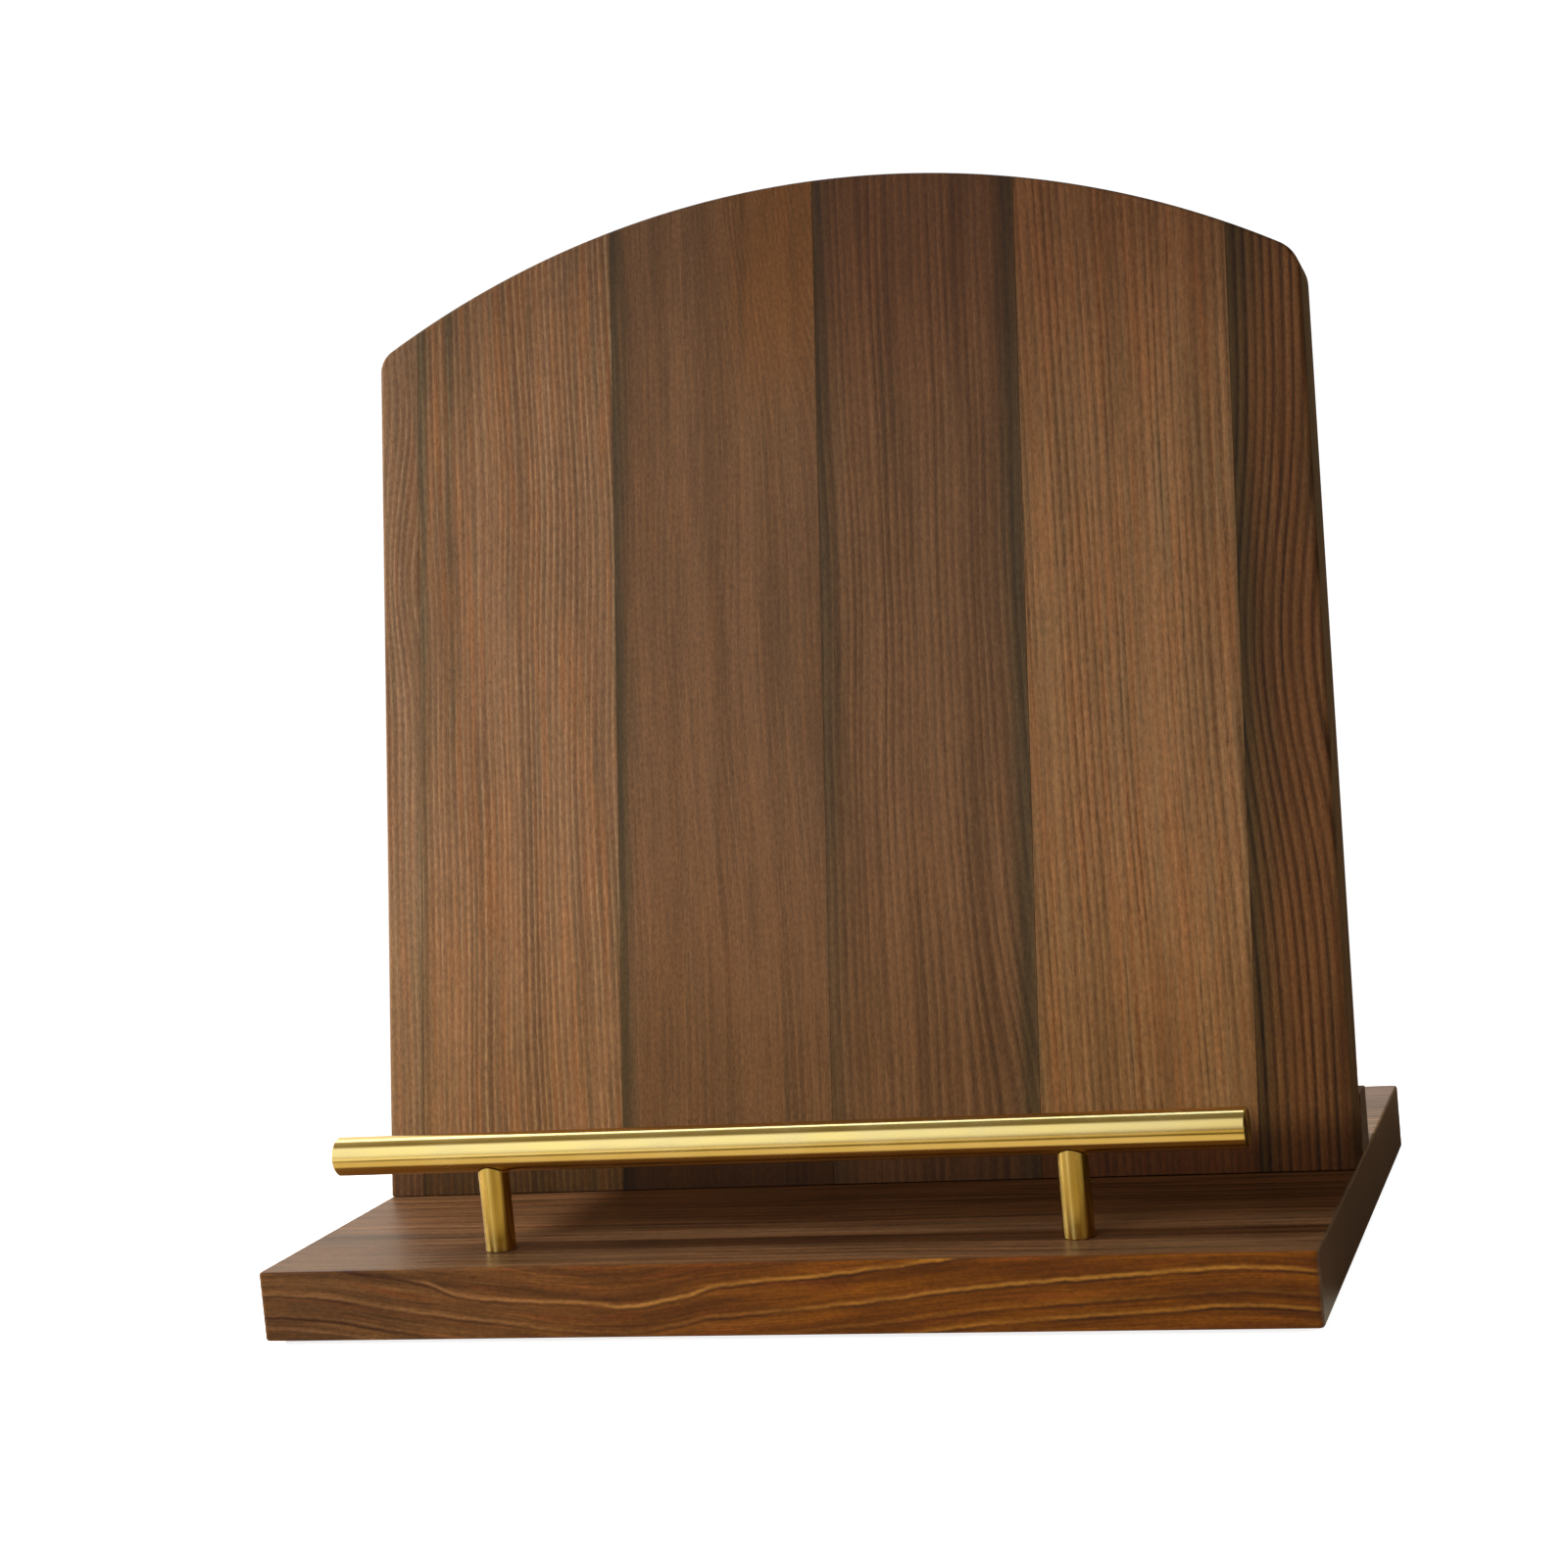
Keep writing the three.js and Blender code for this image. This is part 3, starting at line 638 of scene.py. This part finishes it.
def edge_grain(graph, coordinates, colour):
    """Bold wavy lines on the slab's front edge, over streaks that flow with them."""
    across, along, depth = coordinates
    share = graph.range(along, -EDGE_HALF, EDGE_HALF, smooth=False)
    second = curve_along(graph, share, EDGE_SECOND, EDGE_LOW, EDGE_HIGH)
    flow = graph.math("SUBTRACT", depth, second)
    side = graph.range(along, *EDGE_SIDES)

    ground = edge_ground(graph, along, flow, side)
    bright = graph.mix(side, *[linear(*colour_there) for colour_there in EDGE_BRIGHT])
    luck = graph.range(flowing(graph, along, flow, "luck"), *EDGE_LUCK_REACH, *EDGE_LUCK_SHARES)
    ripple = centred(graph, flowing(graph, along, flow, "ripple"), EDGE_RIPPLE)
    for line in EDGE_LINES:
        height = curve_along(graph, share, line["height"], EDGE_LOW, EDGE_HIGH)
        climb = graph.sum(depth, graph.math("MULTIPLY", height, -1.0), line["drop"], ripple)
        bright_share = curve_along(graph, share, line["bright"], 0, 1)
        dark_share = curve_along(graph, share, line["dark"], 0, 1)
        above = graph.product(graph.bell(climb, *LINE_BRIGHT), bright_share, luck)
        below = graph.product(graph.bell(climb, *LINE_DARK), dark_share, luck)
        ground = graph.mix(above, ground, bright)
        ground = graph.mix(below, ground, linear(*EDGE_DARK))
    near = [BASE_FRONT / MM + depth_in for depth_in in EDGE_DEPTH]
    share_in_front = graph.range(across, *near, 1.0, 0.0)
    return graph.mix(share_in_front, colour, ground)


# Metals and rubber. The scales of their noises are per metre

RAIL_BRASS = ((226, 195, 112), (234, 205, 128))
POST_BRASS = ((212, 177, 90), (220, 187, 104))
BRASS_MARKS_ALONG, BRASS_MARKS_ROUND = 60, 2500
BRASS_SMUDGES = 55.0
BRASS_ROUGHNESS = (0.22, 0.27)
BRASS_BRUSHING = 0.06
BRASS_BUMP = (0.1, 0.02 * MM)
BRASS_ANISOTROPY, BRASS_TURN = 0.9, 0.25

STEEL_GRAIN, STEEL_STAINS = 900.0, 140.0
STEEL = ((176, 178, 182), (200, 201, 203))
STEEL_ROUGHNESS = (0.26, 0.42)
STEEL_BUMP = (0.15, 0.03 * MM)

RUBBER_GRAIN, RUBBER_DUST = 1500.0, 220.0
RUBBER = ((34, 32, 29), (54, 51, 46))
RUBBER_DUST_SPREAD = (0.35, 0.75)
RUBBER_ROUGHNESS = (0.68, 0.86)
RUBBER_BUMP = (0.3, 0.05 * MM)

SMUDGE_SPREAD = (0.3, 0.7)


def brass_material(name, axis, deep, light):
    """Brass of a bar along the given axis, whose fine turning marks draw reflections out along it."""
    material, graph = new_material(name)
    place = graph.object_place()
    grid = [BRASS_MARKS_ALONG if letter == axis else BRASS_MARKS_ROUND for letter in "XYZ"]
    brushing = graph.noise(graph.vector_math("MULTIPLY", place, grid), detail=3.0, roughness=0.6)
    smudges = graph.noise(place, scale=BRASS_SMUDGES, detail=3.0)
    gloss = graph.sum(
        graph.range(smudges, *SMUDGE_SPREAD, *BRASS_ROUGHNESS), centred(graph, brushing, BRASS_BRUSHING)
    )
    graph.surface(graph.node("BsdfPrincipled", {
        "Base Color": graph.mix(graph.range(smudges, *SMUDGE_SPREAD), linear(*deep), linear(*light)),
        "Roughness": gloss,
        "Normal": graph.bump(*BRASS_BUMP, brushing),
        "Tangent": graph.node("Tangent", direction_type="RADIAL", axis=axis).outputs[0],
        "Metallic": 1,
        "Anisotropic": BRASS_ANISOTROPY,
        "Anisotropic Rotation": BRASS_TURN,
    }))
    return material


def steel_material():
    material, graph = new_material("steel")
    place = graph.object_place()
    fine = graph.noise(place, scale=STEEL_GRAIN, detail=3.0)
    stains = graph.noise(place, scale=STEEL_STAINS, detail=2.0)
    deep, light = STEEL
    graph.surface(graph.node("BsdfPrincipled", {
        "Base Color": graph.mix(stains, linear(*deep), linear(*light)),
        "Roughness": graph.range(fine, *SMUDGE_SPREAD, *STEEL_ROUGHNESS),
        "Normal": graph.bump(*STEEL_BUMP, fine),
        "Metallic": 1,
    }))
    return material


def rubber_material():
    material, graph = new_material("rubber")
    place = graph.object_place()
    fine = graph.noise(place, scale=RUBBER_GRAIN, detail=2.0)
    dust = graph.noise(place, scale=RUBBER_DUST, detail=3.0)
    deep, light = RUBBER
    graph.surface(graph.node("BsdfPrincipled", {
        "Base Color": graph.mix(graph.range(dust, *RUBBER_DUST_SPREAD), linear(*deep), linear(*light)),
        "Roughness": graph.range(dust, *SMUDGE_SPREAD, *RUBBER_ROUGHNESS),
        "Normal": graph.bump(*RUBBER_BUMP, fine),
    }))
    return material


# Pieces: each CAD node's solid with clean faces, softened edges and smooth shading

def outer_edge(edge):
    """Whether an edge of the slab lies on two of its outer faces."""
    middle = (edge.verts[0].co + edge.verts[1].co) / 2
    faces = (
        (abs(middle.x), SLAB_HALF.x),
        (abs(middle.y), SLAB_HALF.y),
        (middle.z, BASE_TOP),
        (middle.z, SLAB_FOOT),
    )
    return sum(abs(place - limit) < WELD for place, limit in faces) >= 2


def bevelled(bm, edges, radius, segments):
    bmesh.ops.bevel(
        bm, geom=edges, offset=radius, segments=segments, profile=0.5, affect="EDGES", clamp_overlap=True
    )


def refined(node, edge_radius, slab_radius):
    """A new object with the node's solid, whose sharp edges are rounded."""
    source = frame["nodes"][node].data
    mesh = bpy.data.meshes.new(node + "_fine")
    points = [vertex.co.copy() for vertex in source.vertices]
    mesh.from_pydata(points, [], [list(face.vertices) for face in source.polygons])
    bm = bmesh.new()
    bm.from_mesh(mesh)
    bmesh.ops.remove_doubles(bm, verts=bm.verts, dist=WELD)
    bmesh.ops.dissolve_limit(bm, angle_limit=FLAT_ANGLE, verts=bm.verts, edges=bm.edges)
    if slab_radius:
        bevelled(bm, [edge for edge in bm.edges if outer_edge(edge)], slab_radius, SLAB_SEGMENTS)
    sharp = [edge for edge in bm.edges if edge.calc_face_angle(0) > SHARP_ANGLE]
    bevelled(bm, sharp, edge_radius, SMALL_SEGMENTS)
    for face in bm.faces:
        face.smooth = True
    for edge in bm.edges:
        edge.smooth = edge.calc_face_angle(0) < SHARP_ANGLE
    bm.to_mesh(mesh)
    bm.free()
    piece = bpy.data.objects.new(node + "_fine", mesh)
    bpy.context.scene.collection.objects.link(piece)
    weighted = piece.modifiers.new("even_shading", "WEIGHTED_NORMAL")
    weighted.keep_sharp = True
    return piece


def add_piece(node, material, edge_radius, slab_radius=0):
    piece = refined(node, edge_radius, slab_radius)
    piece.data.materials.append(material)
    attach(piece, "root")
    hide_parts(node)


def add_boards():
    for number, look in enumerate(STAVE_LOOKS, start=1):
        node = f"panel_stave_{number}"
        add_piece(node, wood(node, panel_coordinates, WOOD | look), BOARD_RADIUS)
    for place, look in BASE_LOOKS.items():
        node = f"base_board_{place}"
        finish = edge_grain if place == "front" else None
        material = wood(node, base_coordinates, WOOD | BASE_WOOD | look, finish)
        add_piece(node, material, BOARD_RADIUS, SLAB_RADIUS)
    batten_wood = wood("panel_batten", base_coordinates, WOOD | BASE_WOOD | BATTEN_LOOK)
    add_piece("panel_batten", batten_wood, BATTEN_RADIUS)


def add_hardware(slots):
    materials = {"steel": steel_material(), "rubber": rubber_material()}
    for node, slot in slots.items():
        if slot in materials:
            add_piece(node, materials[slot], HARDWARE_RADIUS)
    rail_brass = brass_material("brass_rail", "X", *RAIL_BRASS)
    add_piece("page_rail", rail_brass, HARDWARE_RADIUS)
    post_brass = brass_material("brass_posts", "Z", *POST_BRASS)
    for node in ("rail_post_left", "rail_post_right"):
        add_piece(node, post_brass, HARDWARE_RADIUS)


# Stage, lights and camera. Where something starts and where it is full are given as a pair

WHITE = 1.04  # what the camera sees as background, a little over 1 so that noise leaves no grey in it
FILL = 0.15  # light from all round

# What gloss shows is a dim room with soft cards. A card's angles are those from its aim, in degrees,
# within which it is full and beyond which it is gone
ROOM = (0.22, 0.155, 0.07, 1)
DARK_SIDE = {"colour": (0.02, 0.014, 0.007, 1), "aim": (1, 0.1, 0), "angles": (32, 50)}
SIDE_CARD = {"colour": (0.7, 0.65, 0.5, 1), "aim": (0.75, -0.66, 0), "angles": (9, 21)}
BACKDROP = {"colour": (1.3, 1.2, 1.02, 1), "aim": (-0.848, 0.53, 0), "angles": (52, 66)}
LEFT_CARD = {"colour": (7.0, 7.0, 7.0, 1), "aim": (-0.98, 0.17, 0), "angles": (24, 34)}
LEFT_CARD_TOP = (0.14, 0.09)
CEILING = (0.2, 0.19, 0.16, 1)
CEILING_START = (0.82, 0.93)

# The card above, and the one in front with its sloping lower edge, by the direction's x, y and z
OVERHEAD_CARD = (3.0, 3.5, 5.0, 1)
OVERHEAD_X, OVERHEAD_Y, OVERHEAD_Z = (-0.02, -0.12), (0.24, 0.32), (0.7, 0.76)
FRONT_CARD = (1.9, 2.15, 2.75, 1)
FRONT_RIGHT, FRONT_LEFT, FRONT_Y = (0.12, -0.42), (-0.62, -0.5), (-0.34, -0.52)
FRONT_EDGE_SLOPE, FRONT_EDGE_HEIGHT, FRONT_EDGE = 1.25, 0.53, (-0.12, 0.1)

# The bright floor that the rail shows: its level close in front of the base, and where that ends
GLEAM = (0.85, 0.72, 0.5, 1)
GLEAM_FRONT = (-0.25, -0.22)
GLEAM_RIGHT = (0.17, 0.15)
# Beyond a dark stretch it is warm again, and bright towards the left
DARK_STRETCH = (0.12, 0.09, 0.03, 1)
DARK_STRETCH_START = (-0.16, -0.21)
WARM_GLEAM = (0.62, 0.5, 0.27, 1)
WARM_START = (-0.32, -0.38)
LEFT_GLEAM_START = (-0.235, -0.275)
LEFT_GLEAM_FRONT = (-0.36, -0.3)
FAR_GLEAM = {"colour": (1.3, 1.25, 1.15, 1), "aim": (-0.85, -0.5, 0), "angles": (34, 56)}
FAR_GLEAM_START = (-0.31, -0.36)

FLOOR_RADIUS = 6
FLOOR_SIDES = 96
FLOOR_PAPER = (0.8, 0.8, 0.8, 1)
FLOOR_LIFT = (0.86, 0.86, 0.86, 1)  # glow that brings the unshaded floor up to the background's white
FLOOR_FAR = (0.24, 0.42)  # from the middle, where the shaded floor gives way to plain white

# Soft lamps: name, place, aim, size and level
LAMPS = [
    ("key_light", (-0.62, -1.36, 0.78), (0, -0.03, 0.15), (0.9, 0.28), 0.73),
    ("left_light", (-1.1, -0.14, 0.68), (0, -0.1, 0.03), (0.12, 0.3), 1.25),
    ("over_light", (0, 0.45, 1.24), (0, -0.11, 0.03), (0.6, 0.14), 0.085),
    ("right_light", (1.3, -0.1, 0.55), (0.17, 0, 0.02), (0.5, 0.5), 0.2),
    ("rear_light", (-0.7, 1.3, 0.75), (0, 0, 0.15), (0.8, 0.8), 0.3),
]


def rays(graph):
    """1 for a camera ray, and 1 for a ray that metal, gloss or glass sends on."""
    path = graph.node("LightPath").outputs
    mirrored = graph.math("MAXIMUM", path["Is Glossy Ray"], path["Is Transmission Ray"])
    return path["Is Camera Ray"], mirrored


def card_share(graph, direction, card):
    """1 within the card's first angle of its aim, and 0 beyond its second one."""
    closeness = graph.dot(direction, Vector(card["aim"]).normalized())
    full, gone = [math.cos(math.radians(angle)) for angle in card["angles"]]
    return graph.range(closeness, gone, full)


def surroundings(graph, direction):
    """The room, its dark side, a narrow card at the right, and the backdrop."""
    show = ROOM
    for card in (DARK_SIDE, SIDE_CARD, BACKDROP):
        show = graph.mix(card_share(graph, direction, card), show, card["colour"])
    return show


def components(graph, vector):
    return [graph.dot(vector, axis) for axis in ((1, 0, 0), (0, 1, 0), (0, 0, 1))]


def front_card(graph, direction):
    """A card in front, brighter to the left, whose lower edge climbs to the right."""
    x, y, z = components(graph, direction)
    above_edge = graph.sum(z, graph.product(x, -FRONT_EDGE_SLOPE), -FRONT_EDGE_HEIGHT)
    return graph.product(
        graph.range(x, *FRONT_RIGHT), graph.range(x, *FRONT_LEFT),
        graph.range(y, *FRONT_Y), graph.range(above_edge, *FRONT_EDGE),
    )


def overhead_card(graph, direction):
    """A card above and a little behind."""
    x, y, z = components(graph, direction)
    return graph.product(
        graph.range(x, *OVERHEAD_X), graph.range(y, *OVERHEAD_Y), graph.range(z, *OVERHEAD_Z)
    )


def mirrored_floor(graph, place):
    """What gloss shows of the floor at a place."""
    direction = graph.vector_math("NORMALIZE", place)
    x, y = components(graph, place)[:2]
    gleam = graph.product(graph.range(y, *GLEAM_FRONT), graph.range(x, *GLEAM_RIGHT))
    far_gleam = graph.product(
        graph.range(y, *FAR_GLEAM_START), card_share(graph, direction, FAR_GLEAM)
    )
    left_gleam = graph.product(graph.range(x, *LEFT_GLEAM_START), graph.range(y, *LEFT_GLEAM_FRONT))
    in_front = graph.range(y, *DARK_STRETCH_START)
    show = graph.mix(in_front, surroundings(graph, direction), DARK_STRETCH)
    show = graph.mix(graph.range(y, *WARM_START), show, WARM_GLEAM)
    show = graph.mix(graph.math("MAXIMUM", far_gleam, left_gleam), show, FAR_GLEAM["colour"])
    return graph.mix(gleam, show, GLEAM)


def floor_material():
    """Paper near the object, which takes its shadow, and white farther off. Gloss sees its own floor."""
    material, graph = new_material("floor")
    place = graph.object_place()
    distance = graph.node("VectorMath", {0: place}, operation="LENGTH").outputs["Value"]
    camera, mirrored = rays(graph)
    glow_colour = graph.mix(camera, mirrored_floor(graph, place), (WHITE, WHITE, WHITE, 1))
    glow = graph.node("Emission", {"Color": glow_colour, "Strength": 1.0})
    lift = graph.node("Emission", {"Color": FLOOR_LIFT, "Strength": camera})
    paper = graph.node("BsdfDiffuse", {"Color": FLOOR_PAPER})
    near = graph.node("AddShader", {0: lift.outputs[0], 1: paper.outputs[0]})
    far = graph.range(distance, *FLOOR_FAR)
    glow_share = graph.math("MAXIMUM", graph.product(far, camera), mirrored)
    graph.surface(graph.node("MixShader", {0: glow_share, 1: near.outputs[0], 2: glow.outputs[0]}))
    return material


def add_floor():
    mesh = bpy.data.meshes.new("floor")
    bm = bmesh.new()
    bmesh.ops.create_circle(bm, cap_ends=True, segments=FLOOR_SIDES, radius=FLOOR_RADIUS)
    bm.to_mesh(mesh)
    bm.free()
    floor = bpy.data.objects.new("floor", mesh)
    bpy.context.scene.collection.objects.link(floor)
    mesh.materials.append(floor_material())


def set_world():
    world = bpy.data.worlds.new("studio")
    bpy.context.scene.world = world
    graph = Graph(world)
    direction = graph.node("TexCoord").outputs["Generated"]
    height = graph.dot(direction, (0, 0, 1))
    show = graph.mix(graph.range(height, *CEILING_START), surroundings(graph, direction), CEILING)
    show = graph.mix(overhead_card(graph, direction), show, OVERHEAD_CARD)
    low_left = graph.product(
        card_share(graph, direction, LEFT_CARD), graph.range(height, *LEFT_CARD_TOP)
    )
    show = graph.mix(low_left, show, LEFT_CARD["colour"])
    show = graph.mix(front_card(graph, direction), show, FRONT_CARD)
    camera, mirrored = rays(graph)
    colour = graph.mix(mirrored, (FILL, FILL, FILL, 1), show)
    colour = graph.mix(camera, colour, (WHITE, WHITE, WHITE, 1))
    background = graph.node("Background", {"Color": colour})
    out = graph.tree.nodes.new("ShaderNodeOutputWorld")
    graph.tree.links.new(background.outputs[0], out.inputs["Surface"])


def add_softbox(name, place, aim, size, level):
    """A rectangular soft lamp. At level 1 a white card at the aim, square to it, renders as white."""
    lamp = bpy.data.lights.new(name, "AREA")
    lamp.shape = "RECTANGLE"
    lamp.size, lamp.size_y = size
    offset = Vector(aim) - Vector(place)
    lamp.energy = level * math.pi ** 2 * offset.length_squared
    holder = bpy.data.objects.new(name, lamp)
    holder.location = place
    holder.rotation_euler = offset.to_track_quat("-Z", "Y").to_euler()
    holder.visible_camera = False
    holder.visible_glossy = False
    bpy.context.scene.collection.objects.link(holder)


def add_camera():
    camera = bpy.data.cameras.new("camera")
    camera.lens = CAMERA_LENS
    camera.sensor_width = CAMERA_SENSOR
    ahead = Vector((
        -math.sin(CAMERA_YAW) * math.cos(CAMERA_PITCH),
        math.cos(CAMERA_YAW) * math.cos(CAMERA_PITCH),
        math.sin(CAMERA_PITCH),
    ))
    level_right = Vector((math.cos(CAMERA_YAW), math.sin(CAMERA_YAW), 0))
    level_up = level_right.cross(ahead)
    right = math.cos(CAMERA_ROLL) * level_right - math.sin(CAMERA_ROLL) * level_up
    up = math.sin(CAMERA_ROLL) * level_right + math.cos(CAMERA_ROLL) * level_up
    turn = Matrix((right, up, -ahead)).transposed().to_4x4()
    holder = bpy.data.objects.new("camera", camera)
    holder.matrix_world = Matrix.Translation(CAMERA_PLACE) @ turn
    bpy.context.scene.collection.objects.link(holder)
    bpy.context.scene.camera = holder


add_camera()
slots = {part["node"]: part["material_slot"] for part in frame["record"]["subparts"]}
add_boards()
add_hardware(slots)
add_floor()
set_world()
for lamp in LAMPS:
    add_softbox(*lamp)
bpy.context.scene.view_settings.view_transform = "Standard"
